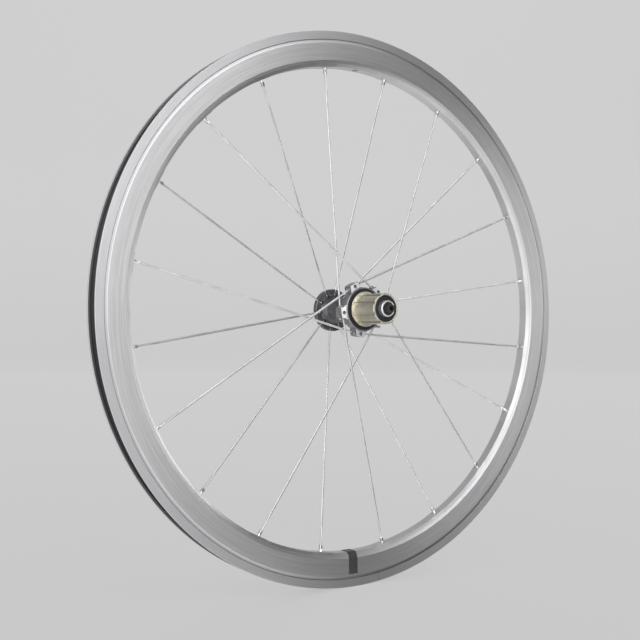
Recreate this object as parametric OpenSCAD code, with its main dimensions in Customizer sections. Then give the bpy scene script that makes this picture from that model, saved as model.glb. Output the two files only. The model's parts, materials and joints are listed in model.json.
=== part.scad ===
// Rear wheel of a road bicycle: clincher rim, straight-pull spokes and a hub with a cassette body.
// The origin is the wheel's centre. +X points forward, +Z up and +Y to the non-drive side.
// Every part is drawn in the wheel's own plane, with its local z axis towards the drive side.

/* [Rim] */
// Outer diameter of the rim
rim_d = 633; // [630:1:636]
// Width over the brake tracks
rim_w = 21.6; // [21.2:0.2:22.4]
// Radial depth of the rim
rim_depth = 39.5; // [38.5:0.5:40.5]
// Height of the machined brake tracks
track_h = 9.5; // [8.5:0.5:10]
// Length of the thicker pad at each spoke hole
pad_len = 21; // [16:1:24]
// Diameter of the valve hole
valve_d = 6.5; // [6.5:0.5:8.5]

/* [Spokes] */
// Width of a spoke's blade
blade_w = 2.5; // [2.2:0.1:2.8]
// Thickness of a spoke's blade
blade_t = 1.1; // [1:0.1:1.4]
// Length of the round stretch beside a nipple
round_len = 24; // [16:1:30]

/* [Hub] */
// Distance between the outer faces of the locknuts
over_locknuts = 130; // [130:1:135]
// Distance from the axle to each drive-side spoke
tangent_r = 28.2; // [27.9:0.1:28.5]
// Radius of the ring on the drive side of the hub shell
shell_r = 25; // [24.8:0.1:25.2]
// Radius over the tips of the drive-side lobes
lobe_r = 31.9; // [31.5:0.1:32.5]
// Radius of the non-drive flange
flange_r = 25; // [24.5:0.1:26]
// Diameter over the lands of the cassette body
cassette_d = 34.6; // [34.4:0.1:34.8]

/* [Hidden] */
spoke_names = ["01", "02", "03", "04", "05", "06", "07", "08", "09", "10"];
$fn = 96;
big = 400;

// Rim section: radii from the axle, and half widths
rim_r = rim_d / 2;
rim_hw = rim_w / 2;
bed_r = rim_r - rim_depth;
track_r = rim_r - track_h;
wall_low_r = bed_r + 7.1;
wall_low_hw = rim_hw - 1.3;
bend_r = 6.3;
shoulder_r = rim_r - 15.5;
wall_t = 1.5;
floor_r = wall_low_r - bend_r + wall_t;
pad_bend_r = 6.2;
cavity_top_r = rim_r - 18.9;
well_r = rim_r - 17.5;
well_hw = 6.4;
seat_r = well_r + 1.8;
seat_hw = 7.6;
flange_t = 1.6;
hook_t = 2.3;
hook_r = rim_r - 2.8;
hook_low_r = rim_r - 4;
tip_round = 0.4;
groove_w = 0.3;
groove_t = 0.35;
lip_t = 0.05;
low_wall_inset = 0.2;
roof_hw = rim_hw - 2.6;
tape_t = 0.6;
tape_hw = 6.2;
label_angle = 269;
label_w = 11.5;
label_t = 0.2;
label_top_r = rim_r - 14.5;
rim_fn = 360;

// Spokes: ten on each side, so the rim has a hole every 18 degrees
side_count = 10;
lobe_count = 5;
lobe_pitch = 360 / lobe_count;
first_lobe = 45;
radial_pitch = 360 / side_count;
first_radial = 9;
foot_turn = asin(tangent_r / bed_r);
lobe_step = tangent_r * tan(foot_turn);
inner_layer_z = 12.8;
outer_layer_z = 16.4;
drive_hole_z = 1;
nondrive_hole_z = -0.6;
radial_apex_z = -46;
radial_head_r = 17.4;
shank_r = 1;
head_r = 1.8;
head_len = 2.4;
neck_len = 30;
spoke_in_nipple = 1.5;
boss_half = 8;
boss_r = 2.4;
bore_gap = 0.05;
head_gap = 0.1;

// Nipples: a ball-shaped head seats on the edge of the rim's hole
nipple_r = 1.95;
nipple_out = 7.5;
nipple_hole_r = 2.1;
nipple_ball_r = 3;
nipple_top_up = 1.1;
seat_gap = 0.05;
access_r = 4.2;

// Axle and bearings, measured along the axle from the wheel's centre
locknut_z = over_locknuts / 2;
tip_z = locknut_z + 5.5;
tip_r = 5;
skewer_r = 2.55;
thread_r = 7.4;
axle_r = 7.5;
axle_collar_r = 8.6;
nut_r = 9.1;
edge = 0.5;
race_w = 7;
race_inner_r = 9.5;
race_outer_r = 11.9;
hub_race_r = 14;
free_race_r = 13;
hub_drive_z = 0.5;
hub_nondrive_z = -49;
free_inboard_z = 22;
free_outboard_z = 49.5;
drive_nut_z = free_outboard_z + race_w;
nondrive_nut_z = -57;
ball_r = 1.7;
ball_pitch_r = (race_inner_r + race_outer_r) / 2;
ball_count = 12;
ball_gap = 0.05;
cage_t = 0.5;
cage_h = 1.8;
seal_t = 0.5;
seal_in = 0.2;
lip_gap = 0.08;

// Cassette body and its ratchet
cassette_r = cassette_d / 2;
spline_root_r = cassette_r - 1.3;
cassette_end_z = 60.6;
stop_r = 20;
stop_z0 = 22.2;
stop_z1 = 24.4;
neck_r = 16.6;
neck_bore_r = 8.7;
ratchet_z0 = 10;
ratchet_z1 = 19.6;
land_count = 9;
land_pitch = 360 / land_count;
groove_half = 5.7;
key_groove_half = 3.4;
groove_foot = 0.5;
lockring_r = 15;
cap_t = 1.4;
tooth_count = 24;
tooth_pitch = 360 / tooth_count;
tooth_tip_r = 17.2;
tooth_root_r = 19.2;
tooth_rake = 5.5;
ratchet_r = 21.5;
seal_r = 23.4;
seal_lip_r = 16.8;
shell_end_z = 21.2;
pawl_count = 3;
first_pawl = 90;
pawl_z0 = 11;
pawl_z1 = 18.6;
pawl_pivot_r = 14.3;
pawl_eye_r = 1.9;
pivot_gap = 0.06;
pawl_tip_r = 18.9;
pawl_tip_angle = 17;
pawl_tip_t = 2.2;
pawl_swing = 22;
pawl_end_turn = 0.4;
pawl_back = [15.8, 0.4];
pawl_heel = [14.3, 1.8];
pawl_belly = [12.6, -0.8];
pocket_outline = [[12.25, -0.3], [13.5, -5.9], [15.2, -7.3], [20, -7.3], [20, 1], [16, 1], [14.3, 0]];
tooth_gap = 0.5;
spring_z = 14.8;
spring_wire_r = 0.5;
spring_r = 16.15;
spring_slot_r = 15.6;
spring_slot_h = 1.4;
pawl_slot_extra = 0.6;

// Hub shell
waist_r = 14.6;
waist_z0 = -36;
waist_z1 = -12;
shell_bore_r = 12;
ring_z0 = 9.6;
ring_low_r = shell_r - 0.6;
lobe_z0 = 9.4;
lobe_z1 = 20.8;
lobe_tip_w = 11.4;
lobe_root_w = 16;
lobe_flank_r = 12;
lobe_hole_r = 2.25;
lobe_hole_z = 18.2;
flange_z0 = -46.2;
flange_z1 = -40.3;
end_boss_r = 18;
end_boss_z = -50;
socket_w = 3.9;
slot_w = 2.3;
socket_floor_z = -45;
slot_floor_z = -44.2;

function polar(r, a) = [r * cos(a), r * sin(a)];
function lift(p, z) = [p[0], p[1], z];
function backwards(points) = [for (i = [len(points) - 1:-1:0]) points[i]];
function flip(points) = [for (p = backwards(points)) [p[0], -p[1]]];
function both(points) = concat(points, flip(points));
function lobe_angle(i) = first_lobe + floor(i / 2) * lobe_pitch;

// Even spokes lie in the inner layer and run backwards, odd ones in the outer layer and forwards
function spoke_side(i) = i % 2 == 0 ? -1 : 1;
function drive_foot(i) = lift(
    polar(tangent_r, lobe_angle(i) + spoke_side(i) * foot_turn),
    i % 2 == 0 ? inner_layer_z : outer_layer_z);
function drive_rim(i) = lift(polar(bed_r, lobe_angle(i) + spoke_side(i) * 90), drive_hole_z);
function radial_rim(i) = lift(polar(bed_r, first_radial + i * radial_pitch), nondrive_hole_z);
function radial_foot(i) =
    let (share = radial_head_r / bed_r, apex = [0, 0, radial_apex_z])
    apex + (radial_rim(i) - apex) * share;

// How far a line from p to q leans away from the rim's radius at q
function lean(p, q) = acos((q - p) * [q[0], q[1], 0] / (norm(q - p) * norm([q[0], q[1]])));

// Height of a nipple's ball above q when it touches the edge of a leaning hole in the rim's floor
function ball_up(p, q) =
    (floor_r - bed_r) / cos(lean(p, q)) + nipple_hole_r * tan(lean(p, q))
    + sqrt(pow(nipple_ball_r, 2) - pow(nipple_hole_r, 2)) + seat_gap;

// Local z towards the drive side becomes the wheel's -Y
module in_wheel() {
    rotate([90, 0, 0]) children();
}

// A ring between two radii and two heights
module ring(r_in, r_out, z0, z1) {
    translate([0, 0, z0]) difference() {
        cylinder(r = r_out, h = z1 - z0);
        translate([0, 0, -1]) cylinder(r = r_in, h = z1 - z0 + 2);
    }
}

// Moves children to p, with their z axis pointing at q
module aim(p, q) {
    d = q - p;
    flat = norm([d[0], d[1]]);
    translate(p)
        rotate([0, 0, atan2(d[1], d[0])])
            rotate([0, atan2(flat, d[2]), 0])
                children();
}

// Outside of the rim's lower wall, from the label's top edge round to the middle of the bed
function low_wall(grow) = concat(
    [[label_top_r, rim_hw - low_wall_inset + grow], [shoulder_r, rim_hw - low_wall_inset + grow]],
    [for (a = [90:15:180]) [wall_low_r, wall_low_hw - bend_r]
        + polar(bend_r + grow, a)]);

function half_rim() = concat(
    [[well_r, 0], [well_r, well_hw], [seat_r - lip_t, seat_hw], [seat_r, rim_hw - flange_t]],
    [[hook_low_r, rim_hw - flange_t], [hook_r, rim_hw - hook_t], [rim_r - tip_round, rim_hw - hook_t]],
    [[rim_r, rim_hw - hook_t + tip_round], [rim_r, rim_hw - edge], [rim_r - edge, rim_hw]],
    [[track_r + groove_w, rim_hw], [track_r, rim_hw - groove_t], [track_r - groove_w, rim_hw - groove_t]],
    [[track_r - groove_w - low_wall_inset, rim_hw - lip_t]],
    low_wall(0));

function half_cavity() = concat(
    [[cavity_top_r, 0], [cavity_top_r, roof_hw]],
    [for (a = [90:15:180]) [wall_low_r, wall_low_hw - bend_r] + polar(bend_r - wall_t, a)],
    [[floor_r, 0]]);

// Pads reach down to bed_r and stay inside the walls
function half_pad() = concat(
    [[floor_r + edge, 0], [floor_r + edge, wall_low_hw - wall_t]],
    [for (a = [120:10:180]) [bed_r + pad_bend_r, wall_low_hw - bend_r - low_wall_inset] + polar(pad_bend_r, a)]);

module spoke_hole_cut(p, q) {
    reach = norm(q - p);
    aim(p, q) {
        translate([0, 0, reach - 4]) cylinder(r = nipple_hole_r, h = 9, $fn = 32);
        translate([0, 0, reach + 15]) cylinder(r = access_r, h = 10, $fn = 32);
    }
}

module rim() {
    color([0.78, 0.78, 0.79]) in_wheel() difference() {
        union() {
            difference() {
                rotate_extrude($fn = rim_fn) polygon(both(half_rim()));
                rotate_extrude($fn = rim_fn) polygon(both(half_cavity()));
            }
            for (i = [0:2 * side_count - 1]) {
                pad_turn = pad_len / bed_r * 180 / PI;
                rotate([0, 0, first_radial + i * radial_pitch / 2 - pad_turn / 2])
                    rotate_extrude(angle = pad_turn, $fn = rim_fn)
                        polygon(both(half_pad()));
            }
        }
        rotate_extrude($fn = rim_fn) polygon(both(half_cavity()));
        for (i = [0:side_count - 1]) {
            spoke_hole_cut(drive_foot(i), drive_rim(i));
            spoke_hole_cut(radial_foot(i), radial_rim(i));
        }
        rotate([-90, 0, 0]) cylinder(d = valve_d, h = rim_r - 8, $fn = 64);
    }
}

module rim_label() {
    turn = label_w / bed_r * 180 / PI;
    band = concat(both(low_wall(label_t)), backwards(both(low_wall(0))));
    color([0.12, 0.12, 0.13]) in_wheel()
        rotate([0, 0, label_angle - turn / 2])
            rotate_extrude(angle = turn, $fn = rim_fn) polygon(band);
}

module rim_tape() {
    color([0.2, 0.2, 0.22]) in_wheel() difference() {
        rotate_extrude($fn = rim_fn)
            translate([well_r, -tape_hw]) square([tape_t, 2 * tape_hw]);
        rotate([-90, 0, 0]) cylinder(d = valve_d + 2, h = rim_r, $fn = 64);
    }
}

// Lens-shaped section with blunted edges, its width across the wheel's plane
module blade_section() {
    chord = blade_w + 0.4;
    arc_r = (chord * chord + blade_t * blade_t) / (4 * blade_t);
    intersection() {
        translate([arc_r - blade_t / 2, 0]) circle(r = arc_r);
        translate([blade_t / 2 - arc_r, 0]) circle(r = arc_r);
        square([blade_t, blade_w], center = true);
    }
}

// A straight-pull spoke whose head starts at_head along the line from p to q
module spoke(p, q, at_head) {
    reach = norm(q - p);
    blade_z0 = at_head + neck_len;
    blade_z1 = reach - round_len;
    aim(p, q) {
        translate([0, 0, at_head]) cylinder(r = head_r, h = head_len, $fn = 32);
        translate([0, 0, at_head + 1]) cylinder(r = shank_r, h = neck_len - 1, $fn = 32);
        translate([0, 0, blade_z0 - 1]) linear_extrude(blade_z1 - blade_z0 + 2) blade_section();
        translate([0, 0, blade_z1]) cylinder(r = shank_r, h = round_len + spoke_in_nipple, $fn = 32);
    }
}

module spoke_drive(i) {
    color([0.74, 0.75, 0.76]) in_wheel()
        spoke(drive_foot(i), drive_rim(i), 0.4 - lobe_step - boss_half);
}

module spoke_nondrive(i) {
    color([0.74, 0.75, 0.76]) in_wheel() spoke(radial_foot(i), radial_rim(i), 0);
}

module nipple(p, q) {
    reach = norm(q - p);
    up = ball_up(p, q);
    aim(p, q) translate([0, 0, reach]) difference() {
        union() {
            translate([0, 0, -nipple_out]) cylinder(r = nipple_r, h = nipple_out + up, $fn = 32);
            intersection() {
                translate([0, 0, up]) sphere(r = nipple_ball_r, $fn = 32);
                cylinder(r = nipple_ball_r + 1, h = up + nipple_top_up, $fn = 32);
            }
        }
        translate([0, 0, -nipple_out - 1]) cylinder(r = shank_r, h = nipple_out + up + 3, $fn = 32);
    }
}

module nipples_drive() {
    color([0.8, 0.8, 0.81]) in_wheel()
        for (i = [0:side_count - 1]) nipple(drive_foot(i), drive_rim(i));
}

module nipples_nondrive() {
    color([0.8, 0.8, 0.81]) in_wheel()
        for (i = [0:side_count - 1]) nipple(radial_foot(i), radial_rim(i));
}

// Outline of one lobe, pointing along x, with hollow flanks
module lobe_outline() {
    root_x = shell_r - 3.6;
    difference() {
        intersection() {
            translate([root_x, -lobe_root_w / 2]) square([lobe_r, lobe_root_w]);
            circle(r = lobe_r);
        }
        for (side = [-1, 1])
            translate([lobe_r, side * (lobe_tip_w / 2 + lobe_flank_r)]) circle(r = lobe_flank_r);
    }
}

// Barrel outline from its waist up to the drive-side ring
function barrel_flare() = [for (a = [0:9:90]) [
    waist_r + (ring_low_r - waist_r) * (1 - cos(a)),
    waist_z1 + (ring_z0 - waist_z1) * sin(a)]];

module shell_body() {
    rotate_extrude() polygon(concat(
        [[10, end_boss_z], [end_boss_r - edge, end_boss_z], [end_boss_r, end_boss_z + edge]],
        [[end_boss_r, flange_z0], [flange_r - edge, flange_z0], [flange_r, flange_z0 + edge]],
        [[flange_r, flange_z1 - edge], [flange_r - edge, flange_z1], [waist_r + 3.2, flange_z1]],
        [[waist_r + 2.6, flange_z1 + 0.6], [waist_r + 0.8, waist_z0 + 1.6], [waist_r, waist_z0 + 4]],
        barrel_flare(),
        [[shell_r, ring_z0 + 0.6], [shell_r, shell_end_z - edge], [shell_r - edge, shell_end_z]],
        [[10, shell_end_z]]));
}

module shell_bores() {
    translate([0, 0, end_boss_z - 1])
        cylinder(r = hub_race_r, h = hub_nondrive_z + race_w - end_boss_z + 1);
    translate([0, 0, hub_nondrive_z]) cylinder(r = shell_bore_r, h = hub_drive_z - hub_nondrive_z + 1);
    translate([0, 0, hub_drive_z]) cylinder(r = hub_race_r, h = ratchet_z0 - hub_drive_z + 1);
    translate([0, 0, ratchet_z0]) cylinder(r = ratchet_r, h = ratchet_z1 - ratchet_z0 + 1);
    translate([0, 0, ratchet_z1]) cylinder(r = seal_r, h = shell_end_z - ratchet_z1 + 1);
}

module hub_shell() {
    color([0.5, 0.5, 0.52]) in_wheel() difference() {
        union() {
            shell_body();
            for (i = [0:lobe_count - 1])
                rotate([0, 0, first_lobe + i * lobe_pitch])
                    translate([0, 0, lobe_z0]) linear_extrude(lobe_z1 - lobe_z0) lobe_outline();
            for (i = [0:side_count - 1])
                aim(drive_foot(i), drive_rim(i))
                    translate([0, 0, -lobe_step - boss_half])
                        cylinder(r = boss_r, h = 2 * boss_half, $fn = 48);
        }
        shell_bores();
        for (i = [0:side_count - 1])
            aim(drive_foot(i), drive_rim(i)) translate([0, 0, -lobe_step - boss_half]) {
                translate([0, 0, -1]) cylinder(r = shank_r + bore_gap, h = 2 * boss_half + 9, $fn = 32);
                translate([0, 0, -6])
                    cylinder(r = head_r + head_gap, h = 6 + head_len + 0.4, $fn = 32);
            }
        for (i = [0:lobe_count - 1])
            rotate([0, 0, first_lobe + i * lobe_pitch])
                translate([(shell_r + lobe_r) / 2, 0, lobe_hole_z]) cylinder(r = lobe_hole_r, h = 5);
        for (i = [0:side_count - 1]) rotate([0, 0, first_radial + i * radial_pitch]) {
            translate([radial_head_r - 0.4, -socket_w / 2, socket_floor_z])
                cube([head_len + 0.5, socket_w, flange_z1 - socket_floor_z + 1.6]);
            translate([radial_head_r, -slot_w / 2, slot_floor_z])
                cube([flange_r, slot_w, flange_z1 - slot_floor_z + 1]);
        }
    }
}

// Saw teeth whose steep flanks lean with the path of a pawl's tip, so that a pawl can rise into them
module ratchet_ring() {
    first_tooth = first_pawl - pawl_tip_angle - tooth_gap;
    color([0.45, 0.45, 0.47]) in_wheel() translate([0, 0, ratchet_z0])
        linear_extrude(ratchet_z1 - ratchet_z0) difference() {
            circle(r = ratchet_r);
            polygon([for (i = [0:tooth_count - 1]) each [
                polar(tooth_root_r, first_tooth + i * tooth_pitch),
                polar(tooth_tip_r, first_tooth + (i + 1) * tooth_pitch - tooth_rake)]]);
        }
}

// Deep-groove cartridge bearing, split into the pieces that turn apart
module ball_path(z0) {
    translate([0, 0, z0 + race_w / 2]) rotate_extrude()
        translate([ball_pitch_r, 0]) circle(r = ball_r + ball_gap, $fn = 48);
}

module outer_race(z0, race_r) {
    color([0.7, 0.7, 0.72]) in_wheel() difference() {
        ring(race_outer_r, race_r, z0, z0 + race_w);
        ball_path(z0);
    }
}

module inner_race(z0) {
    color([0.7, 0.7, 0.72]) in_wheel() difference() {
        ring(axle_r, race_inner_r, z0, z0 + race_w);
        ball_path(z0);
    }
}

module ball_set(z0) {
    color([0.8, 0.8, 0.82]) in_wheel() {
        for (i = [0:ball_count - 1])
            rotate([0, 0, i * 360 / ball_count])
                translate([ball_pitch_r, 0, z0 + race_w / 2]) sphere(r = ball_r, $fn = 32);
        translate([0, 0, z0 + race_w / 2 - cage_h / 2])
            ring(ball_pitch_r - cage_t / 2, ball_pitch_r + cage_t / 2, 0, cage_h);
    }
}

module bearing_seals(z0) {
    color([0.12, 0.12, 0.13]) in_wheel()
        for (z = [z0 + seal_in, z0 + race_w - seal_in - seal_t])
            ring(race_inner_r + lip_gap, race_outer_r, z, z + seal_t);
}

module cassette_groove(i, half) {
    rotate([0, 0, i * land_pitch - half]) rotate_extrude(angle = 2 * half)
        translate([spline_root_r, stop_z1 - groove_foot]) square([stop_r, cassette_end_z]);
}

// Room for one pawl, which swings inwards about its eye
module pawl_pocket() {
    translate([pawl_pivot_r, 0]) circle(r = pawl_eye_r + pivot_gap, $fn = 48);
    polygon(pocket_outline);
}

module freehub_body() {
    color([0.68, 0.66, 0.58]) in_wheel() difference() {
        rotate_extrude() polygon([
            [neck_bore_r, ratchet_z0], [neck_r, ratchet_z0], [neck_r, stop_z0], [stop_r - edge, stop_z0],
            [stop_r, stop_z0 + edge], [stop_r, stop_z1], [cassette_r, stop_z1],
            [cassette_r, cassette_end_z - edge], [cassette_r - edge, cassette_end_z],
            [neck_bore_r, cassette_end_z]]);
        translate([0, 0, free_inboard_z]) cylinder(r = free_race_r, h = big);
        translate([0, 0, drive_nut_z + edge]) cylinder(r = lockring_r, h = big);
        for (i = [0:land_count - 1])
            cassette_groove(i, i == 0 ? key_groove_half : groove_half);
        for (i = [0:pawl_count - 1])
            rotate([0, 0, first_pawl + i * 360 / pawl_count])
                translate([0, 0, pawl_z0 - 0.1]) linear_extrude(pawl_z1 - pawl_z0 + 0.2) pawl_pocket();
        ring(spring_slot_r - 0.1, neck_r + 1,
            spring_z - spring_slot_h / 2, spring_z + spring_slot_h / 2);
    }
}

// Outline of a pawl with its tip out among the teeth
module pawl_outline() {
    translate([pawl_pivot_r, 0]) circle(r = pawl_eye_r, $fn = 48);
    polygon([
        polar(pawl_tip_r, -pawl_tip_angle), pawl_back, pawl_heel, pawl_belly,
        polar(pawl_tip_r - pawl_tip_t, -pawl_tip_angle - pawl_end_turn)]);
}

// A pawl as it lies while the wheel coasts, pressed in under the crests of the teeth
module pawl(i) {
    color([0.55, 0.55, 0.57]) in_wheel()
        rotate([0, 0, first_pawl + i * 360 / pawl_count])
            translate([pawl_pivot_r, 0, 0]) rotate([0, 0, -pawl_swing])
                translate([-pawl_pivot_r, 0, 0]) difference() {
                    translate([0, 0, pawl_z0]) linear_extrude(pawl_z1 - pawl_z0) pawl_outline();
                    ring(spring_slot_r - pawl_slot_extra, ratchet_r,
                        spring_z - spring_slot_h / 2, spring_z + spring_slot_h / 2);
                }
}

module pawl_spring() {
    color([0.75, 0.75, 0.77]) in_wheel() translate([0, 0, spring_z])
        rotate([0, 0, first_pawl + 40]) rotate_extrude(angle = 350)
            translate([spring_r, 0]) circle(r = spring_wire_r, $fn = 24);
}

module freehub_seal() {
    color([0.1, 0.1, 0.12]) in_wheel() ring(seal_lip_r, seal_r, ratchet_z1, shell_end_z + 0.4);
}

module freehub_dust_cap() {
    color([0.12, 0.12, 0.13]) in_wheel()
        ring(nut_r + 0.4, lockring_r, drive_nut_z + edge, drive_nut_z + edge + cap_t);
}

module axle() {
    color([0.1, 0.1, 0.11]) in_wheel() difference() {
        rotate_extrude() polygon([
            [1, -tip_z], [tip_r - edge, -tip_z], [tip_r, edge - tip_z], [tip_r, -locknut_z],
            [thread_r, -locknut_z], [thread_r, nondrive_nut_z], [axle_r, nondrive_nut_z],
            [axle_r, hub_nondrive_z + race_w], [axle_collar_r, hub_nondrive_z + race_w],
            [axle_collar_r, hub_drive_z], [axle_r, hub_drive_z], [axle_r, drive_nut_z],
            [thread_r, drive_nut_z], [thread_r, locknut_z],
            [tip_r, locknut_z], [tip_r, tip_z - edge], [tip_r - edge, tip_z], [1, tip_z]]);
        cylinder(r = skewer_r, h = big, center = true, $fn = 64);
    }
}

module spacer_middle() {
    color([0.5, 0.5, 0.52]) in_wheel()
        ring(axle_r, neck_bore_r - 0.3, hub_drive_z + race_w, free_inboard_z);
}

module spacer_freehub() {
    color([0.5, 0.5, 0.52]) in_wheel()
        ring(axle_r, race_inner_r - 0.3, free_inboard_z + race_w, free_outboard_z);
}

module spacer_nondrive() {
    color([0.2, 0.2, 0.22]) in_wheel() ring(axle_r, race_inner_r, nondrive_nut_z, hub_nondrive_z);
}

// A threaded ring with a chamfered outer face, drawn for the drive side
module locknut(z0) {
    color([0.8, 0.8, 0.81]) rotate_extrude() polygon([
        [thread_r, z0], [nut_r, z0], [nut_r, locknut_z - edge], [nut_r - edge, locknut_z],
        [thread_r, locknut_z]]);
}

module locknut_drive() {
    in_wheel() locknut(drive_nut_z);
}

module locknut_nondrive() {
    in_wheel() mirror([0, 0, 1]) locknut(-nondrive_nut_z);
}

module nondrive_dust_seal() {
    color([0.1, 0.1, 0.12]) in_wheel()
        ring(race_inner_r + 0.2, hub_race_r, end_boss_z, hub_nondrive_z - lip_gap);
}

rim();
rim_label();
rim_tape();
spoke_drive(0);  // spoke_drive_01
spoke_drive(1);  // spoke_drive_02
spoke_drive(2);  // spoke_drive_03
spoke_drive(3);  // spoke_drive_04
spoke_drive(4);  // spoke_drive_05
spoke_drive(5);  // spoke_drive_06
spoke_drive(6);  // spoke_drive_07
spoke_drive(7);  // spoke_drive_08
spoke_drive(8);  // spoke_drive_09
spoke_drive(9);  // spoke_drive_10
spoke_nondrive(0);  // spoke_nondrive_01
spoke_nondrive(1);  // spoke_nondrive_02
spoke_nondrive(2);  // spoke_nondrive_03
spoke_nondrive(3);  // spoke_nondrive_04
spoke_nondrive(4);  // spoke_nondrive_05
spoke_nondrive(5);  // spoke_nondrive_06
spoke_nondrive(6);  // spoke_nondrive_07
spoke_nondrive(7);  // spoke_nondrive_08
spoke_nondrive(8);  // spoke_nondrive_09
spoke_nondrive(9);  // spoke_nondrive_10
nipples_drive();
nipples_nondrive();
hub_shell();
ratchet_ring();
outer_race(hub_drive_z, hub_race_r);  // hub_bearing_drive_outer
inner_race(hub_drive_z);  // hub_bearing_drive_inner
ball_set(hub_drive_z);  // hub_bearing_drive_balls
bearing_seals(hub_drive_z);  // hub_bearing_drive_seals
outer_race(hub_nondrive_z, hub_race_r);  // hub_bearing_nondrive_outer
inner_race(hub_nondrive_z);  // hub_bearing_nondrive_inner
ball_set(hub_nondrive_z);  // hub_bearing_nondrive_balls
bearing_seals(hub_nondrive_z);  // hub_bearing_nondrive_seals
outer_race(free_inboard_z, free_race_r);  // freehub_bearing_inboard_outer
inner_race(free_inboard_z);  // freehub_bearing_inboard_inner
ball_set(free_inboard_z);  // freehub_bearing_inboard_balls
bearing_seals(free_inboard_z);  // freehub_bearing_inboard_seals
outer_race(free_outboard_z, free_race_r);  // freehub_bearing_outboard_outer
inner_race(free_outboard_z);  // freehub_bearing_outboard_inner
ball_set(free_outboard_z);  // freehub_bearing_outboard_balls
bearing_seals(free_outboard_z);  // freehub_bearing_outboard_seals
freehub_body();
freehub_seal();
freehub_dust_cap();
pawl(0);  // pawl_1
pawl(1);  // pawl_2
pawl(2);  // pawl_3
pawl_spring();
axle();
spacer_middle();
spacer_freehub();
spacer_nondrive();
locknut_drive();
locknut_nondrive();
nondrive_dust_seal();
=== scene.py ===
import json
import math

import bmesh
import bpy
import numpy as np
from mathutils import Matrix, Vector


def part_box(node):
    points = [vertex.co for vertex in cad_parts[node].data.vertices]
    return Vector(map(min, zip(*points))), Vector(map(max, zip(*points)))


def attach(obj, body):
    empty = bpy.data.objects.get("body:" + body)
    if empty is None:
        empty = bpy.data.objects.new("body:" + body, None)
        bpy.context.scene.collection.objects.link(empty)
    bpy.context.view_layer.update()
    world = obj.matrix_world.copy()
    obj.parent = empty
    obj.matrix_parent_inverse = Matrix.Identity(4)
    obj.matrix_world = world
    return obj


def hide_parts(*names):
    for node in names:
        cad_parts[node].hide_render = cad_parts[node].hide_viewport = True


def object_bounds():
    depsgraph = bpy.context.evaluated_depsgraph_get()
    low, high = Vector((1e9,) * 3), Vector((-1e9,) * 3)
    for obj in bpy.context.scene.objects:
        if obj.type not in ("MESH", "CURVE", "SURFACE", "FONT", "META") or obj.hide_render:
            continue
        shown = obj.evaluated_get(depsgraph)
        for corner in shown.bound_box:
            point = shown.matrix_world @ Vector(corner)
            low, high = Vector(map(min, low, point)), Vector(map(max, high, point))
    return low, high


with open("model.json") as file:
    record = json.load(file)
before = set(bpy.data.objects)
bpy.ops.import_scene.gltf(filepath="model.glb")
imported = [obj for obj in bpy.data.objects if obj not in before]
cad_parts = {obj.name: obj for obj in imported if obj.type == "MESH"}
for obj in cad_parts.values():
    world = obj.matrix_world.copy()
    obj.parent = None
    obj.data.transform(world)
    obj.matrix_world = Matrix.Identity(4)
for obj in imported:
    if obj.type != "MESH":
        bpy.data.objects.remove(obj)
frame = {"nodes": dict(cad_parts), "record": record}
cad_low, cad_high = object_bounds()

# A road bicycle's rear wheel. Lengths below are millimetres in the wheel's own plane: x forward,
# y up and s along the axle towards the drive side. to_row() turns them into the frame's metres.
MM = 0.001
TAU = 2 * math.pi

# Rim, from the frame's own box. An R is a radius and an HW half a width along the axle.
RIM_R = round(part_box("rim")[1][0] / MM * 2) / 2
RIM_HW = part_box("rim")[1][1] / MM
BED_R = RIM_R - 39.5
TRACK_R = RIM_R - 9.5
SHOULDER_R = RIM_R - 15.5
WALL_LOW_R = BED_R + 7.1
WALL_LOW_HW = RIM_HW - 1.3
LOW_R = WALL_LOW_R - 6.3
BEVEL_R = LOW_R + 3.0
BEVEL_HW = WALL_LOW_HW - 1.0
BED_HW = 5.4
WELL_R = RIM_R - 17.5
WELL_HW = RIM_HW - 1.6
LIP_HW = RIM_HW - 2.3
GROOVE_HW = RIM_HW - 0.55
RIM_STEPS = 1440
RIM_SHARP = 24
# The bed rises a little round every spoke hole
PAD_HALF = 10.5
PAD_EASE = 5.0
PAD_RISE = 0.4
SPOKE_HOLE_R = 2.15
VALVE_HOLE_R = 3.25
# The joint in the hoop, seen as a thin line across the brake track
SEAM_TURN = math.radians(275.8)
SEAM_HALF = 0.16 * MM
# The dark band wrapped over the rim
LABEL_TOP_R = RIM_R - 14.5
LABEL_WIDTH = 11.5
LABEL_TURN = math.radians(269)
LABEL_STEPS = 12

# Spokes: ten a side, crossed in pairs on the drive side and radial on the other
SIDE_COUNT = 10
TANGENT_R = 28.2
FOOT_TURN = math.asin(TANGENT_R / BED_R)
LOBE_STEP = TANGENT_R * math.tan(FOOT_TURN)
FIRST_LOBE = math.radians(45)
LOBE_PITCH = math.radians(72)
FIRST_RADIAL = math.radians(9)
RADIAL_PITCH = math.radians(36)
LAYER_S = (12.8, 16.4)
DRIVE_HOLE_S = 1.0
NONDRIVE_HOLE_S = -0.6
RADIAL_APEX_S = -46.0
RADIAL_HEAD_R = 17.4
BOSS_HALF = 8.0
SHANK_R = 1.0
BLADE_HALF_W = 1.25
BLADE_HALF_T = 0.55
SPOKE_HEAD = ((0.0, 0.9), (0.12, 1.45), (0.45, 1.75), (1.0, 1.8), (1.9, 1.8), (2.15, 1.5), (2.4, 1.12),
              (2.7, SHANK_R))
HEAD_SINK = 0.4
NECK_END = 27.0
BLADE_START = 34.0
BLADE_STOP = 29.0
ROUND_AGAIN = 22.0
SPOKE_RUN_ON = 1.5
BLADE_STEPS = 9
BLADE_FLATNESS = 0.18

# Nipples: the ball seat's centre above the bed, and a flat too wide to cut anything
SEAT_UP_DRIVE = 4.72
SEAT_UP_NONDRIVE = 4.87
NO_FLAT = 9

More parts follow.
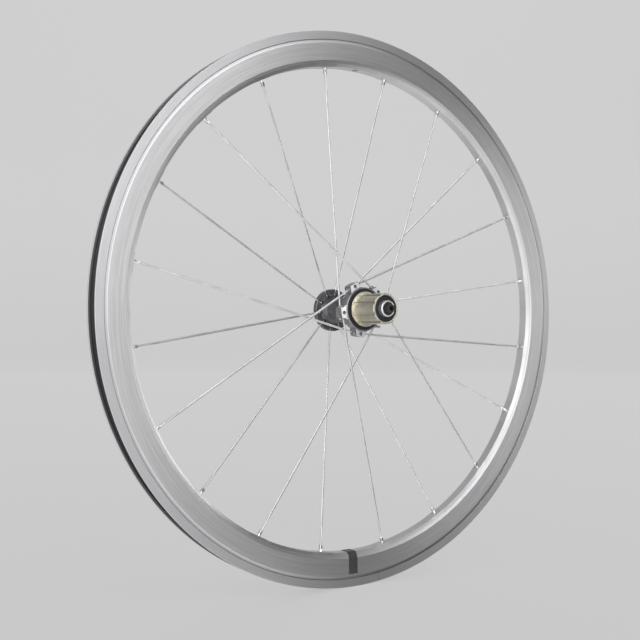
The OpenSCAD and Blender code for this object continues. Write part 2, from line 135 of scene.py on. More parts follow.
# Colours of the rim and the hub shell
WALL_DARK = (0.60, 0.60, 0.61, 1)
WALL_LIGHT = (0.82, 0.82, 0.83, 1)
TRACK_DARK = (0.49, 0.49, 0.50, 1)
TRACK_LIGHT = (0.60, 0.60, 0.61, 1)
BED_DARK = (0.52, 0.52, 0.53, 1)
BED_LIGHT = (0.62, 0.62, 0.63, 1)
# Painted shade in the tyre channel; the flange lip's top stays lighter than that shade
CHANNEL_PAINTED_SHADE = (0.17, 0.17, 0.18, 1)
LIP_TONE = (0.55, 0.55, 0.56, 1)
# Painted shade on the slope below the brake track
SLOPE_PAINTED_SHADE = (0.36, 0.36, 0.37, 1)
# Painted shade in the groove at the brake track's edge
GROOVE_PAINTED_SHADE = (0.20, 0.20, 0.21, 1)
SEAM_TONE = (0.10, 0.10, 0.11, 1)
BARREL_DARK = (0.13, 0.13, 0.135, 1)
BARREL_LIGHT = (0.19, 0.19, 0.195, 1)
FLANGE_DARK = (0.26, 0.26, 0.27, 1)
FLANGE_LIGHT = (0.34, 0.34, 0.35, 1)
LOBE_DARK = (0.86, 0.87, 0.89, 1)
LOBE_LIGHT = (0.95, 0.96, 0.97, 1)

# Studio
FLOOR_GLOW = 0.47
FLOOR_DARK = (0.085, 0.085, 0.085, 1)
FLOOR_LIGHT = (0.09, 0.09, 0.09, 1)
FLOOR_GAP = 0.0004
FLOOR_FLAT = 6.0
FLOOR_SWEEP = 2.0
FLOOR_WALL = 3.0
FLOOR_STEPS = 96
WORLD_GLOW = 0.02
PANEL_LEAN = 0.2
PANEL_SOFT = math.radians(6)
# Panel edges that need no fade: the seam behind the wheel and the zenith
OPEN_EDGES = (-180, 180, 90)
# The photograph's view: azimuth, elevation and roll, then metres
CAMERA_TURN = (math.radians(-34.323), math.radians(-0.836), math.radians(0.427))
CAMERA_DISTANCE = 1.104
CAMERA_RIGHT = -0.03864
CAMERA_UP = -0.01239
CAMERA_LENS = 53.606
CAMERA_SENSOR = 36


def to_row(p):
    """Wheel-plane millimetres (x, y, s) to the frame's metres."""
    return Vector((p[0], -p[2], p[1])) * MM


def polar(r, turn, s=0.0):
    """A wheel-plane point from a radius and an angle that starts at +X and grows towards the top."""
    return Vector((r * math.cos(turn), r * math.sin(turn), s))


def smooth(t):
    """0 to 1 with a soft start and end."""
    t = min(max(t, 0.0), 1.0)
    return t * t * (3 - 2 * t)


# ---------------------------------------------------------------- materials

def new_material(name):
    """A material with one Principled shader, and that shader."""
    mat = bpy.data.materials.new(name)
    mat.use_nodes = True
    nodes = mat.node_tree.nodes
    nodes.clear()
    out = nodes.new("ShaderNodeOutputMaterial")
    shader = nodes.new("ShaderNodeBsdfPrincipled")
    mat.node_tree.links.new(shader.outputs[0], out.inputs[0])
    return mat, shader


class Graph:
    """Short calls for building a material's nodes."""

    def __init__(self, mat):
        self.tree = mat.node_tree

    def link(self, a, b):
        self.tree.links.new(a, b)

    def node(self, kind, **settings):
        made = self.tree.nodes.new(kind)
        for key, value in settings.items():
            setattr(made, key, value)
        return made

    def put(self, socket, value):
        if hasattr(value, "is_output"):
            self.link(value, socket)
        else:
            socket.default_value = value

    def math(self, op, a, b=0.0):
        made = self.node("ShaderNodeMath", operation=op)
        self.put(made.inputs[0], a)
        self.put(made.inputs[1], b)
        return made.outputs[0]

    def plus(self, a, b):
        return self.math("ADD", a, b)

    def times(self, a, b):
        return self.math("MULTIPLY", a, b)

    def flip(self, value):
        return self.math("SUBTRACT", 1.0, value)

    def band(self, value, low, high):
        """0 below low, 1 above high, eased between."""
        made = self.node("ShaderNodeMapRange", interpolation_type="SMOOTHSTEP")
        self.put(made.inputs["Value"], value)
        made.inputs["From Min"].default_value = low
        made.inputs["From Max"].default_value = high
        return made.outputs["Result"]

    def scale(self, value, low, high):
        """Maps 0..1 to low..high."""
        made = self.node("ShaderNodeMapRange")
        self.put(made.inputs["Value"], value)
        made.inputs["To Min"].default_value = low
        made.inputs["To Max"].default_value = high
        return made.outputs["Result"]

    def mix(self, share, a, b):
        """Colour a at share 0, colour b at share 1."""
        made = self.node("ShaderNodeMix", data_type="RGBA")
        self.put(made.inputs["Factor"], share)
        self.put(made.inputs[6], a)
        self.put(made.inputs[7], b)
        return made.outputs[2]

    def position(self):
        """x, y, z and the whole vector, in the piece's own metres."""
        coords = self.node("ShaderNodeTexCoord")
        parts = self.node("ShaderNodeSeparateXYZ")
        self.link(coords.outputs["Object"], parts.inputs[0])
        return parts.outputs[0], parts.outputs[1], parts.outputs[2], coords.outputs["Object"]

    def radius(self, x, z):
        return self.math("SQRT", self.plus(self.times(x, x), self.times(z, z)))

    def noise(self, vector, scale, detail=4.0, rough=0.55):
        made = self.node("ShaderNodeTexNoise")
        self.put(made.inputs["Vector"], vector)
        made.inputs["Scale"].default_value = scale
        made.inputs["Detail"].default_value = detail
        made.inputs["Roughness"].default_value = rough
        return made.outputs["Fac"]

    def turned(self, along, across):
        """Coordinates for marks that run round the axle: slow with the angle, quick with the radius."""
        x, y, z, _ = self.position()
        r = self.radius(x, z)
        join = self.node("ShaderNodeCombineXYZ")
        self.link(self.times(self.math("DIVIDE", x, r), along), join.inputs[0])
        self.link(self.times(self.math("DIVIDE", z, r), along), join.inputs[1])
        mix = self.plus(self.times(r, across), self.times(y, across))
        self.link(mix, join.inputs[2])
        return join.outputs[0], r, y

    def square_to_axle(self):
        """1 on faces that look along the axle to the drive side."""
        geo = self.node("ShaderNodeNewGeometry")
        parts = self.node("ShaderNodeSeparateXYZ")
        self.link(geo.outputs["True Normal"], parts.inputs[0])
        return self.band(self.times(parts.outputs[1], -1.0), 0.9, 0.98)

    def brush_round(self, shader, amount):
        """Stretches a metal's highlights the way a finish turned round the axle does."""
        shader.inputs["Metallic"].default_value = 1.0
        shader.inputs["Anisotropic"].default_value = amount
        shader.inputs["Anisotropic Rotation"].default_value = 0.25
        tangent = self.node("ShaderNodeTangent", direction_type="RADIAL", axis="Y")
        self.link(tangent.outputs[0], shader.inputs["Tangent"])

    def bump(self, height, strength, distance, normal=None):
        made = self.node("ShaderNodeBump")
        made.inputs["Strength"].default_value = strength
        made.inputs["Distance"].default_value = distance
        self.link(height, made.inputs["Height"])
        if normal is not None:
            self.link(normal, made.inputs["Normal"])
        return made.outputs[0]

    def bevel(self, radius):
        made = self.node("ShaderNodeBevel", samples=6)
        made.inputs["Radius"].default_value = radius
        return made.outputs[0]


def turned_metal(name, dark, light, rough, marks=(6.0, 2600.0), relief=0.15, anisotropy=0.5,
                 bevel=0.0, faced_highlight=None):
    """Metal turned or brushed round the axle, with an optional lighter colour painted on faces square to
    the axle as their highlight.
    """
    mat, shader = new_material(name)
    g = Graph(mat)
    vector, _, _ = g.turned(*marks)
    fine = g.noise(vector, 1.0, 3.0)
    _, _, _, where = g.position()
    broad = g.noise(where, 35.0, 3.0)
    tone = g.plus(g.times(fine, 0.65), g.times(broad, 0.35))
    skin = g.mix(g.band(tone, 0.32, 0.68), (*dark, 1), (*light, 1))
    # Painted highlight: faces square to the axle get the lighter colour.
    if faced_highlight:
        skin = g.mix(g.square_to_axle(), skin, (*faced_highlight, 1))
    g.link(skin, shader.inputs["Base Color"])
    wear = g.plus(fine, g.times(broad, 0.6))
    g.link(g.scale(wear, rough - 0.08, rough + 0.08), shader.inputs["Roughness"])
    normal = g.bevel(bevel) if bevel else None
    g.link(g.bump(fine, relief, 0.0001, normal), shader.inputs["Normal"])
    g.brush_round(shader, anisotropy)
    return mat


def plain_metal(name, dark, light, rough, scale=900.0, relief=0.12, bevel=0.0):
    """Cast, drawn or plated metal with a fine even grain."""
    mat, shader = new_material(name)
    g = Graph(mat)
    _, _, _, where = g.position()
    fine = g.noise(where, scale, 4.0)
    broad = g.noise(where, 60.0, 2.0)
    g.link(g.mix(g.band(broad, 0.35, 0.65), (*dark, 1), (*light, 1)), shader.inputs["Base Color"])
    g.link(g.scale(fine, rough - 0.07, rough + 0.07), shader.inputs["Roughness"])
    normal = g.bevel(bevel) if bevel else None
    g.link(g.bump(fine, relief, 0.00005, normal), shader.inputs["Normal"])
    shader.inputs["Metallic"].default_value = 1.0
    return mat


def soft_black(name, dark, light, rough, bevel=0.0):
    """Moulded rubber or plastic."""
    mat, shader = new_material(name)
    g = Graph(mat)
    _, _, _, where = g.position()
    fine = g.noise(where, 1800.0, 3.0)
    broad = g.noise(where, 90.0, 3.0)
    g.link(g.mix(g.band(broad, 0.3, 0.7), (*dark, 1), (*light, 1)), shader.inputs["Base Color"])
    g.link(g.scale(fine, rough - 0.08, rough + 0.08), shader.inputs["Roughness"])
    normal = g.bevel(bevel) if bevel else None
    g.link(g.bump(fine, 0.2, 0.00006, normal), shader.inputs["Normal"])
    shader.inputs["Specular IOR Level"].default_value = 0.25
    return mat


def rim_metal():
    """Brushed sidewalls, a finer machined brake track and a satin bed, with painted shade in the tyre
    channel, on the slope below the track and in its groove.
    """
    mat, shader = new_material("rim_alloy")
    g = Graph(mat)
    vector, r, y = g.turned(9.0, 4200.0)
    streak = g.noise(vector, 1.0, 5.0, 0.6)
    long_vector, _, _ = g.turned(2.5, 1300.0)
    long_streak = g.noise(long_vector, 1.0, 3.0)
    x, _, z, where = g.position()
    cloud = g.noise(where, 9.0, 3.0)
    grain = g.noise(where, 2600.0, 2.0)

    track = g.band(r, (TRACK_R - 0.2) * MM, (TRACK_R + 0.2) * MM)
    bed = g.flip(g.band(r, (BED_R + 3.5) * MM, (BED_R + 7.5) * MM))
    tone = g.plus(g.times(streak, 0.55), g.times(long_streak, 0.45))
    wall = g.mix(g.band(tone, 0.3, 0.7), WALL_DARK, WALL_LIGHT)
    tracks = g.mix(g.band(streak, 0.3, 0.7), TRACK_DARK, TRACK_LIGHT)
    beds = g.mix(g.band(cloud, 0.35, 0.65), BED_DARK, BED_LIGHT)
    skin = g.mix(bed, g.mix(track, wall, tracks), beds)

    # Painted shade: the inside of the tyre channel is darkened, and the flange lip's top is set lighter
    # than that shade.
    inner = g.flip(g.band(g.math("ABSOLUTE", y), (RIM_HW - 1.1) * MM, (RIM_HW - 0.7) * MM))
    channel_shade = g.times(inner, g.band(r, (WELL_R - 1.2) * MM, (WELL_R - 0.7) * MM))
    skin = g.mix(channel_shade, skin, CHANNEL_PAINTED_SHADE)
    lip = g.times(g.band(r, (RIM_R - 0.5) * MM, (RIM_R - 0.2) * MM), inner)
    skin = g.mix(lip, skin, LIP_TONE)

    # Painted shade: the slope below the track is darkened, dimming its highlight where it faces the light
    # and deepening it where it turns away.
    slope_shade = g.times(g.band(r, (TRACK_R - 3.6) * MM, (TRACK_R - 1.6) * MM), g.flip(track))
    skin = g.mix(g.times(slope_shade, 0.7), skin, SLOPE_PAINTED_SHADE)
    # Painted shade: the narrow groove at the track's edge is darkened.
    groove_in = g.band(r, (TRACK_R - 0.45) * MM, (TRACK_R - 0.3) * MM)
    groove_out = g.flip(g.band(r, (TRACK_R + 0.1) * MM, (TRACK_R + 0.25) * MM))
    skin = g.mix(g.times(groove_in, groove_out), skin, GROOVE_PAINTED_SHADE)

    across_seam = g.math("SUBTRACT", g.times(x, math.sin(SEAM_TURN)), g.times(z, math.cos(SEAM_TURN)))
    near = g.flip(g.band(g.math("ABSOLUTE", across_seam), SEAM_HALF * 0.5, SEAM_HALF * 1.5))
    lower_half = g.band(g.times(z, -1.0), 0.0, 0.01)
    seam = g.times(near, g.times(track, lower_half))
    g.link(g.mix(seam, skin, SEAM_TONE), shader.inputs["Base Color"])

    rough = g.plus(g.scale(streak, 0.31, 0.39), g.times(bed, 0.08))
    g.link(g.plus(rough, g.times(track, 0.06)), shader.inputs["Roughness"])
    height = g.plus(g.times(streak, g.flip(bed)), g.times(grain, g.times(bed, 0.6)))
    g.link(g.bump(height, 0.05, 0.00005), shader.inputs["Normal"])
    g.brush_round(shader, 0.8)
    return mat


def shell_metal():
    """Satin grey hub shell: a darker barrel, lighter drive flange, and lobe faces cut bright."""
    mat, shader = new_material("hub_alloy")
    g = Graph(mat)
    vector, r, y = g.turned(3.0, 1500.0)
    turned = g.noise(vector, 1.0, 3.0)
    _, _, _, where = g.position()
    broad = g.noise(where, 120.0, 4.0)
    fine = g.noise(where, 2400.0, 2.0)
    to_drive = g.times(y, -1.0)
    past_flange = g.times(g.band(to_drive, 0.0202, 0.0206), g.band(r, 0.0252, 0.0258))
    lobes = g.times(g.square_to_axle(), past_flange)
    barrel = g.mix(g.band(broad, 0.35, 0.65), BARREL_DARK, BARREL_LIGHT)
    flange = g.mix(g.band(broad, 0.35, 0.65), FLANGE_DARK, FLANGE_LIGHT)
    grey = g.mix(g.band(to_drive, 0.004, 0.011), barrel, flange)
    bright = g.mix(g.band(turned, 0.3, 0.7), LOBE_DARK, LOBE_LIGHT)
    g.link(g.mix(lobes, grey, bright), shader.inputs["Base Color"])
    rough = g.plus(g.scale(fine, 0.36, 0.5), g.times(lobes, 0.05))
    g.link(rough, shader.inputs["Roughness"])
    g.link(g.bump(fine, 0.12, 0.00006, g.bevel(0.0004)), shader.inputs["Normal"])
    g.brush_round(shader, 0.5)
    return mat


# ---------------------------------------------------------------- mesh helpers

def piece(name, verts, faces, material, body, nodes=(), sharp=None):
    """A mesh piece in row metres that rides on a body and stands for CAD nodes."""
    mesh = bpy.data.meshes.new(name)
    mesh.from_pydata([tuple(v) for v in verts], [], [tuple(f) for f in faces])
    mesh.validate()
    made = bpy.data.objects.new(name, mesh)
    bpy.context.scene.collection.objects.link(made)
    mesh.materials.append(material)
    finish_mesh(made, sharp)
    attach(made, body)
    if nodes:
        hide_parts(*nodes)
    return made


def add_normals(made):
    """Weighted normals keep the flat faces flat beside their rounded edges."""
    weighted = made.modifiers.new("weighted", "WEIGHTED_NORMAL")
    weighted.keep_sharp = True


def finish_mesh(made, sharp):
    """Outward normals, smooth shading, and sharp edges above an angle in degrees."""
    b = bmesh.new()
    b.from_mesh(made.data)
    bmesh.ops.recalc_face_normals(b, faces=b.faces)
    limit = math.radians(sharp if sharp else 180)
    for f in b.faces:
        f.smooth = True
    for e in b.edges:
        e.smooth = not (len(e.link_faces) == 2 and e.calc_face_angle(0) > limit)
    b.to_mesh(made.data)
    b.free()


def rounded(corners, steps=5):
    """Closed outline from (a, b, radius) corners, each rounded by an arc."""
    out = []
    count = len(corners)
    for i, (a, b, radius) in enumerate(corners):
        here = Vector((a, b))
        if radius <= 0:
            out.append(here)
            continue
        before = Vector(corners[i - 1][:2]) - here
        after = Vector(corners[(i + 1) % count][:2]) - here
        half = before.angle(after) / 2
        cut = min(radius / math.tan(half), before.length * 0.49, after.length * 0.49)
        arc_r = cut * math.tan(half)
        start = here + before.normalized() * cut
        inward = (before.normalized() + after.normalized()).normalized()
        middle = here + inward * (arc_r / math.sin(half))
        first = start - middle
        sweep = math.pi - 2 * half
        side = 1 if first.cross(here - middle) > 0 else -1
        for k in range(steps + 1):
            turn = side * sweep * k / steps
            c, s = math.cos(turn), math.sin(turn)
            out.append(middle + Vector((first.x * c - first.y * s, first.x * s + first.y * c)))
    return out


def aim(start, end):
    """Columns x (across, in the wheel's plane), y (across, along the axle) and z (towards end)."""
    z = (end - start).normalized()
    x = z.cross(Vector((0, 0, 1))).normalized()
    y = z.cross(x)
    return x, y, z


def tube_faces(rings, count, closed=False):
    """Quads between neighbouring rings of count points, and back to the first ring if closed."""
    faces = []
    for i in range(rings if closed else rings - 1):
        a, b = i * count, (i + 1) % rings * count
        for j in range(count):
            k = (j + 1) % count
            faces.append((a + j, a + k, b + k, b + j))
    return faces


def loft(start, end, rings):
    """Closed tube along a line. A ring is (distance, list of (u, v) offsets)."""
    x, y, z = aim(start, end)
    verts = []
    count = len(rings[0][1])
    for t, section in rings:
        verts += [to_row(start + z * t + x * u + y * v) for u, v in section]
    faces = tube_faces(len(rings), count)
    faces.append(tuple(range(count - 1, -1, -1)))
    last = (len(rings) - 1) * count
    faces.append(tuple(range(last, last + count)))
    return verts, faces


# ---------------------------------------------------------------- rim

def rim_half(pad):
    """Half outline from the middle of the tyre well, over the flange and down to the bed."""
    low = LOW_R - pad * PAD_RISE
    corners = [
        (WELL_R, 0, 0), (WELL_R, 6.4, 1.2), (WELL_R + 1.6, 7.6, 0.6), (WELL_R + 1.8, WELL_HW, 0.5),
        (RIM_R - 4, WELL_HW, 0.6), (RIM_R - 2.8, LIP_HW, 0.5), (RIM_R, LIP_HW, 0.7),
        (RIM_R, RIM_HW, 0.55), (TRACK_R + 0.25, RIM_HW, 0.12), (TRACK_R + 0.1, GROOVE_HW, 0.08),
        (TRACK_R - 0.25, GROOVE_HW, 0.08), (TRACK_R - 0.45, RIM_HW - 0.36, 0.1),
        (TRACK_R - 3.4, RIM_HW - 0.02, 1.2), (SHOULDER_R - 3, RIM_HW - 0.35, 1.5),
        (WALL_LOW_R, WALL_LOW_HW, 2.0), (BEVEL_R, BEVEL_HW, 1.6), (low, BED_HW, 0.7), (low, 0, 0)]
    return [tuple(p) for p in rounded(corners, 3)]


def rim_outline(pad):
    """The whole section of the hoop: pad 0 between two spoke holes, 1 at one."""
    half = rim_half(pad)
    return half + [(r, -s) for r, s in reversed(half[1:-1])]


def pad_share(turn):
    """1 on the pad at a spoke hole, 0 on the thinner wall between two."""
    step = RADIAL_PITCH / 2
    off = abs((turn - FIRST_RADIAL + step / 2) % step - step / 2) * BED_R
    return smooth((PAD_HALF + PAD_EASE / 2 - off) / PAD_EASE)


def rim_mesh():
    """The hoop: its section swept round the axle."""
    verts = []
    plain = np.array(rim_outline(0.0))
    thick = np.array(rim_outline(1.0))
    for i in range(RIM_STEPS):
        turn = TAU * i / RIM_STEPS
        outline = plain + (thick - plain) * pad_share(turn)
        verts += [to_row(polar(r, turn, s)) for r, s in outline]
    return verts, tube_faces(RIM_STEPS, len(plain), closed=True)


def cutter(holes, sides=32):
    """One mesh of separate cylinders: each hole is (start, end, radius)."""
    verts, faces = [], []
    for start, end, radius in holes:
        turns = [TAU * k / sides for k in range(sides)]
        ring = [(radius * math.cos(turn), radius * math.sin(turn)) for turn in turns]
        v, f = loft(start, end, [(0, ring), ((end - start).length, ring)])
        faces += [tuple(i + len(verts) for i in face) for face in f]
        verts += v
    mesh = bpy.data.meshes.new("cutter")
    mesh.from_pydata([tuple(v) for v in verts], [], faces)
    made = bpy.data.objects.new("cutter", mesh)
    bpy.context.scene.collection.objects.link(made)
    finish_mesh(made, 30)
    return made


def cut(target, tool):
    """Takes the tool's shape out of the target's mesh and removes the tool."""
    bool_mod = target.modifiers.new("holes", "BOOLEAN")
    bool_mod.operation = "DIFFERENCE"
    bool_mod.solver = "EXACT"
    bool_mod.object = tool
    bpy.context.view_layer.update()
    evaluated = target.evaluated_get(bpy.context.evaluated_depsgraph_get())
    done = bpy.data.meshes.new_from_object(evaluated)
    target.modifiers.remove(bool_mod)
    target.data = done
    bpy.data.objects.remove(tool)


# ---------------------------------------------------------------- spokes

def drive_line(i):
    """Foot and rim point of drive-side spoke i, as in the frame: even spokes run backwards."""
    side = -1 if i % 2 == 0 else 1
    lobe = FIRST_LOBE + (i // 2) * LOBE_PITCH
    foot = polar(TANGENT_R, lobe + side * FOOT_TURN, LAYER_S[i % 2])
    return foot, polar(BED_R, lobe + side * math.pi / 2, DRIVE_HOLE_S)


def radial_line(i):
    """Foot and rim point of non-drive spoke i, on the cone through its hub holes."""
    rim = polar(BED_R, FIRST_RADIAL + i * RADIAL_PITCH, NONDRIVE_HOLE_S)
    apex = Vector((0, 0, RADIAL_APEX_S))
    return apex + (rim - apex) * (RADIAL_HEAD_R / BED_R), rim


def blade_ring(half_w, half_t, power, count=20):
    """Section between a circle (power 1) and a flatter lens (power below 1)."""
    out = []
    for k in range(count):
        a = TAU * k / count
        c, s = math.cos(a), math.sin(a)
        across = half_w * math.copysign(abs(c) ** power, c)
        through = half_t * math.copysign(abs(s) ** power, s)
        out.append((across, through))
    return out


def blade_between(share):
    """Section on the way from the round neck (0) to the full blade (1)."""
    ease = smooth(share)
    half_w = SHANK_R + (BLADE_HALF_W - SHANK_R) * ease
    half_t = SHANK_R + (BLADE_HALF_T - SHANK_R) * ease
    return blade_ring(half_w, half_t, 1.0 - BLADE_FLATNESS * ease)


def spoke_rings(head_at, reach):
    """Head, round neck, blade and round end of a straight-pull spoke."""
    rings = [(head_at + t, blade_ring(r, r, 1.0)) for t, r in SPOKE_HEAD]
    neck_end = head_at + NECK_END
    blade_in = head_at + BLADE_START
    blade_out = reach - BLADE_STOP
    round_in = reach - ROUND_AGAIN
    shares = np.linspace(0, 1, BLADE_STEPS)
    for share in shares:
        rings.append((neck_end + (blade_in - neck_end) * share, blade_between(share)))
    for share in shares:
        rings.append((blade_out + (round_in - blade_out) * share, blade_between(1 - share)))
    rings.append((reach + SPOKE_RUN_ON, blade_ring(SHANK_R, SHANK_R, 1.0)))
    return rings


def make_spokes(material):
    """Both sides' spokes. A drive-side head is sunk into the back of its lobe."""
    drive_head = HEAD_SINK - LOBE_STEP - BOSS_HALF
    for i in range(SIDE_COUNT):
        foot, rim = drive_line(i)
        verts, faces = loft(foot, rim, spoke_rings(drive_head, (rim - foot).length))
        piece(f"drive_spoke_{i + 1:02d}_blade", verts, faces, material, "wheel",
              [f"spoke_drive_{i + 1:02d}"], 40)
        foot, rim = radial_line(i)
        verts, faces = loft(foot, rim, spoke_rings(0.0, (rim - foot).length))
        piece(f"nondrive_spoke_{i + 1:02d}_blade", verts, faces, material, "wheel",
              [f"spoke_nondrive_{i + 1:02d}"], 40)


def nipple_section(radius, flat, count=32):
    """A circle cut by four flats, each so far from the middle."""
    out = []
    for k in range(count):
        a = TAU * (k + 0.5) / count
        c, s = math.cos(a), math.sin(a)
        r = min(radius, flat / max(abs(c), abs(s)))
        out.append((r * c, r * s))
    return out


def nipple_rings(reach, up):
    """Tapered mouth, four wrench flats, round collar and a ball seat whose centre is up from the bed."""
    profile = (
        (-7.5, 1.15, NO_FLAT), (-7.4, 1.45, NO_FLAT), (-7.1, 1.62, NO_FLAT), (-6.7, 1.72, NO_FLAT),
        (-6.4, 2.05, 1.62), (-6.1, 2.1, 1.62), (-2.4, 2.1, 1.62), (-2.1, 2.0, 1.7), (-1.7, 1.95, NO_FLAT),
        (up - 2.28, 1.95, NO_FLAT), (up - 1.66, 2.5, NO_FLAT), (up - 0.94, 2.85, NO_FLAT),
        (up, 3.0, NO_FLAT), (up + 0.7, 2.9, NO_FLAT), (up + 1.1, 2.6, NO_FLAT), (up + 1.1, 0.5, NO_FLAT))
    return [(reach + t, nipple_section(r, flat)) for t, r, flat in profile]


def make_nipples(material):
    """One nipple on every spoke."""
    sides = (("drive", drive_line, SEAT_UP_DRIVE), ("nondrive", radial_line, SEAT_UP_NONDRIVE))
    for side, line, up in sides:
        for i in range(SIDE_COUNT):
            foot, rim = line(i)
            verts, faces = loft(foot, rim, nipple_rings((rim - foot).length, up))
            piece(f"{side}_nipple_{i + 1:02d}", verts, faces, material, "wheel",
                  [f"nipples_{side}"], 30)


# ---------------------------------------------------------------- build

ALLOY = rim_metal()
SPOKE = plain_metal("spoke_steel", (0.52, 0.53, 0.54), (0.62, 0.63, 0.64), 0.50)
NIPPLE = plain_metal("nipple_brass", (0.74, 0.74, 0.74), (0.88, 0.88, 0.88), 0.3)
SHELL = shell_metal()
STEEL = turned_metal("ratchet_steel", (0.30, 0.30, 0.31), (0.42, 0.42, 0.43), 0.35)
BEARING = turned_metal("bearing_steel", (0.55, 0.55, 0.56), (0.70, 0.70, 0.71), 0.2)
RUBBER = soft_black("seal_rubber", (0.015, 0.014, 0.018), (0.022, 0.021, 0.026), 0.62, 0.0002)
# The cassette body's faces square to the axle carry a painted highlight in light cream.
CASSETTE = turned_metal("cassette_alloy", (0.42, 0.39, 0.32), (0.54, 0.51, 0.43), 0.36,
                        marks=(2.0, 900.0), relief=0.06, anisotropy=0.3, bevel=0.0006,
                        faced_highlight=(0.80, 0.78, 0.63))
WIRE = plain_metal("spring_steel", (0.55, 0.55, 0.56), (0.7, 0.7, 0.71), 0.25)
BLACK = soft_black("axle_alloy", (0.020, 0.020, 0.022), (0.028, 0.028, 0.030), 0.5, 0.0003)
SPACER = turned_metal("spacer_alloy", (0.45, 0.45, 0.46), (0.6, 0.6, 0.61), 0.35)
NUT = turned_metal("nut_alloy", (0.84, 0.85, 0.86), (0.92, 0.93, 0.94), 0.36,
                   marks=(2.0, 900.0), relief=0.04, anisotropy=0.3, bevel=0.0003)
LABEL = soft_black("label_film", (0.028, 0.028, 0.030), (0.040, 0.040, 0.043), 0.42)
TAPE = soft_black("tape_nylon", (0.05, 0.05, 0.055), (0.07, 0.07, 0.075), 0.55)

BY_SLOT = {
    "rim_alloy": ALLOY, "label_film": LABEL, "tape_nylon": TAPE, "spoke_steel": SPOKE,
    "nipple_brass": NIPPLE, "hub_alloy": SHELL, "ratchet_steel": STEEL, "bearing_steel": BEARING,
    "seal_rubber": RUBBER, "cassette_alloy": CASSETTE, "spring_steel": WIRE, "axle_alloy": BLACK,
    "spacer_alloy": SPACER, "nut_alloy": NUT,
}


def paint_frame():
    """Gives every CAD node the material of its slot."""
    for sub in frame["record"]["subparts"]:
        node = frame["nodes"][sub["node"]]
        node.data.materials.clear()
        node.data.materials.append(BY_SLOT[sub["material_slot"]])


def make_rim():
    """The hoop with its spoke holes and the valve hole drilled through the bed and the well."""
    verts, faces = rim_mesh()
    rim = piece("rim_hoop", verts, faces, ALLOY, "wheel", ["rim"], RIM_SHARP)
    holes = []
    for line in (drive_line, radial_line):
        for i in range(SIDE_COUNT):
            foot, end = line(i)
            along = (end - foot).normalized()
            holes.append((end - along * 4, end + along * 5, SPOKE_HOLE_R))
    holes.append((Vector((0, BED_R - 4, 0)), Vector((0, WELL_R + 3, 0)), VALVE_HOLE_R))
    cut(rim, cutter(holes))
    finish_mesh(rim, RIM_SHARP)
    add_normals(rim)


def both_sides(half):
    """An open outline and its mirror image in the wheel's middle plane."""
    return half + [(r, -s) for r, s in reversed(half)]


def make_label():
    """Thin dark band laid over the lower wall on both sides and under the bed."""
    inside = both_sides([
        (LABEL_TOP_R, RIM_HW - 0.25), (WALL_LOW_R, WALL_LOW_HW - 0.1), (BEVEL_R + 0.1, BEVEL_HW - 0.1),
        (LOW_R + 0.1, BED_HW - 0.1)])
    outside = both_sides([
        (LABEL_TOP_R, RIM_HW + 0.02), (WALL_LOW_R - 0.1, WALL_LOW_HW + 0.25),
        (BEVEL_R - 0.12, BEVEL_HW + 0.25), (LOW_R - PAD_RISE - 0.05, BED_HW + 0.15)])
    loop = outside + inside[::-1]
    count = len(loop)
    half_turn = LABEL_WIDTH / BED_R / 2
    verts = []
    for i in range(LABEL_STEPS + 1):
        turn = LABEL_TURN - half_turn + 2 * half_turn * i / LABEL_STEPS
        verts += [to_row(polar(r, turn, s)) for r, s in loop]
    faces = tube_faces(LABEL_STEPS + 1, count)
    for j in range(count // 2 - 1):
        ring = (j, j + 1, count - 2 - j, count - 1 - j)
        faces.append(ring)
        faces.append(tuple(LABEL_STEPS * count + v for v in reversed(ring)))
    piece("rim_label_band", verts, faces, LABEL, "wheel", ["rim_label"], 40)


paint_frame()
make_rim()
make_label()
make_spokes(SPOKE)
make_nipples(NIPPLE)


# ---------------------------------------------------------------- stage

def floor_mesh():
    """A flat disc that sweeps up into a wall all round."""
    low = cad_low[2] - FLOOR_GAP
    line = [(1.0, low), (FLOOR_FLAT, low)]
    for a in np.linspace(0.1, math.pi / 2, 16):
        line.append((FLOOR_FLAT + FLOOR_SWEEP * math.sin(a), low + FLOOR_SWEEP * (1 - math.cos(a))))
    line.append((FLOOR_FLAT + FLOOR_SWEEP, low + FLOOR_SWEEP + FLOOR_WALL))
    turns = [TAU * i / FLOOR_STEPS for i in range(FLOOR_STEPS)]
    verts = [(0.0, 0.0, low)]
    for r, z in line:
        verts += [(r * math.cos(turn), r * math.sin(turn), z) for turn in turns]
    faces = [(0, 1 + i, 1 + (i + 1) % FLOOR_STEPS) for i in range(FLOOR_STEPS)]
    for ring in range(len(line) - 1):
        a = 1 + ring * FLOOR_STEPS
        b = a + FLOOR_STEPS
        for i in range(FLOOR_STEPS):
            k = (i + 1) % FLOOR_STEPS
            faces.append((a + i, b + i, b + k, a + k))
    return verts, faces


def make_floor():
    """Pale floor and backdrop. Mirror and shadow rays pass it, so the world lights and fills the metal."""
    verts, faces = floor_mesh()
    mesh = bpy.data.meshes.new("studio_floor")
    mesh.from_pydata(verts, [], faces)
    for f in mesh.polygons:
        f.use_smooth = True
    floor = bpy.data.objects.new("studio_floor", mesh)
    bpy.context.scene.collection.objects.link(floor)
    mat, shader = new_material("floor_paint")
    g = Graph(mat)
    _, _, _, where = g.position()
    g.link(g.mix(g.noise(where, 3.0, 2.0), FLOOR_DARK, FLOOR_LIGHT), shader.inputs["Base Color"])
    shader.inputs["Roughness"].default_value = 0.7
    shader.inputs["Emission Color"].default_value = (1, 1, 1, 1)
    shader.inputs["Emission Strength"].default_value = FLOOR_GLOW
    mesh.materials.append(mat)
    floor.visible_glossy = False
    floor.visible_shadow = False


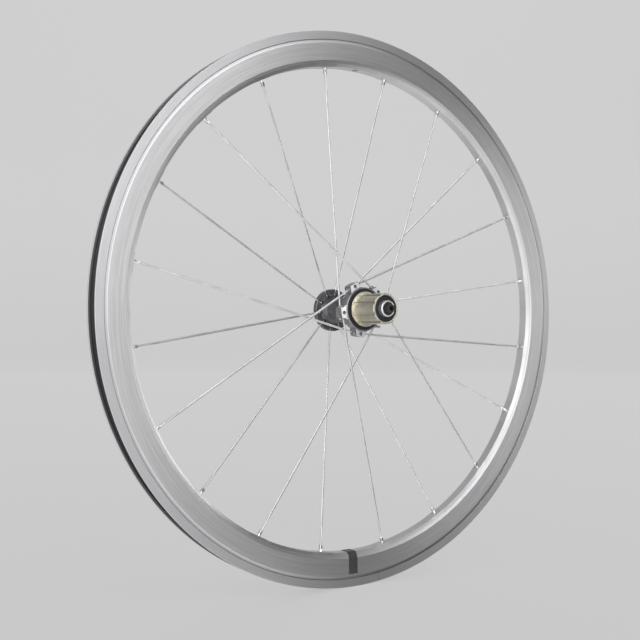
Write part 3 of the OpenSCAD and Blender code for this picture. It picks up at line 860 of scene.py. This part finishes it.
# Soft panels round the wheel, as metal sees them: azimuth from and to, elevation from and to, brightness.
# Azimuth 0 is in front of the drive side and 90 towards +X.
PANELS = (
    (-60, -15, -45, -20, 1.50),
    (-60, -15, -20, 0, 1.30),
    (-60, -15, 0, 20, 2.40),
    (-60, -15, 20, 45, 2.76),
    (-15, 8, -45, -20, 1.50),
    (-15, 8, -20, 0, 1.30),
    (-15, 8, 0, 20, 2.40),
    (-15, 8, 20, 45, 3.17),
    (8, 24, -45, -20, 1.50),
    (8, 24, -20, 0, 1.30),
    (8, 24, 0, 20, 0.92),
    (8, 24, 20, 45, 3.38),
    (24, 40, -45, -20, 1.50),
    (24, 40, 20, 45, 1.26),
    (40, 60, 0, 20, 0.16),
    (60, 110, -20, 0, 0.17),
    (60, 110, 0, 20, 2.40),
    (-115, -60, -45, 45, 1.45),
    (-180, 180, 45, 90, 0.39),
    (-180, 180, -90, -45, 0.84),
    (-180, -115, -45, 45, 0.35),
    (110, 180, -45, 45, 0.70),
)


def make_world():
    """A world painted from the panels, each a product of four faded edges."""
    world = bpy.data.worlds.new("studio")
    bpy.context.scene.world = world
    world.use_nodes = True
    g = Graph(world)
    coords = g.node("ShaderNodeTexCoord")
    parts = g.node("ShaderNodeSeparateXYZ")
    g.link(coords.outputs["Generated"], parts.inputs[0])
    x, y, z = parts.outputs
    elevation = g.math("ARCSINE", z)
    azimuth = g.math("ARCTAN2", x, g.times(y, -1.0))
    azimuth = g.math("SUBTRACT", azimuth, g.times(elevation, PANEL_LEAN))
    glow = WORLD_GLOW
    for left, right, bottom, top, bright in PANELS:
        share = bright
        sides = ((azimuth, left, False), (azimuth, right, True), (elevation, bottom, False),
                 (elevation, top, True))
        for value, degrees, falling in sides:
            if degrees in OPEN_EDGES:
                continue
            edge = math.radians(degrees)
            ramp = g.band(value, edge - PANEL_SOFT / 2, edge + PANEL_SOFT / 2)
            if falling:
                ramp = g.flip(ramp)
            share = g.times(ramp, share)
        glow = g.plus(share, glow)
    background = world.node_tree.nodes["Background"]
    background.inputs[0].default_value = (1.0, 1.0, 1.0, 1)
    g.link(glow, background.inputs[1])


def make_camera():
    """The photograph's view, as a camera fitted to the rim's edges and the nipples saw it."""
    azimuth, elevation, roll = CAMERA_TURN
    back = Vector((math.sin(azimuth) * math.cos(elevation), -math.cos(azimuth) * math.cos(elevation),
                   math.sin(elevation)))
    level = Vector((math.cos(azimuth), math.sin(azimuth), 0))
    upright = back.cross(level)
    place = back * CAMERA_DISTANCE + level * CAMERA_RIGHT + upright * CAMERA_UP
    right = level * math.cos(roll) + upright * math.sin(roll)
    up = upright * math.cos(roll) - level * math.sin(roll)
    data = bpy.data.cameras.new("camera")
    data.sensor_width = CAMERA_SENSOR
    data.lens = CAMERA_LENS
    data.clip_start, data.clip_end = 0.05, 60
    made = bpy.data.objects.new("camera", data)
    made.matrix_world = Matrix((
        (right.x, up.x, back.x, place.x), (right.y, up.y, back.y, place.y),
        (right.z, up.z, back.z, place.z), (0, 0, 0, 1)))
    bpy.context.scene.collection.objects.link(made)
    bpy.context.scene.camera = made


make_floor()
make_world()
make_camera()

bpy.context.scene.view_settings.view_transform = "Standard"
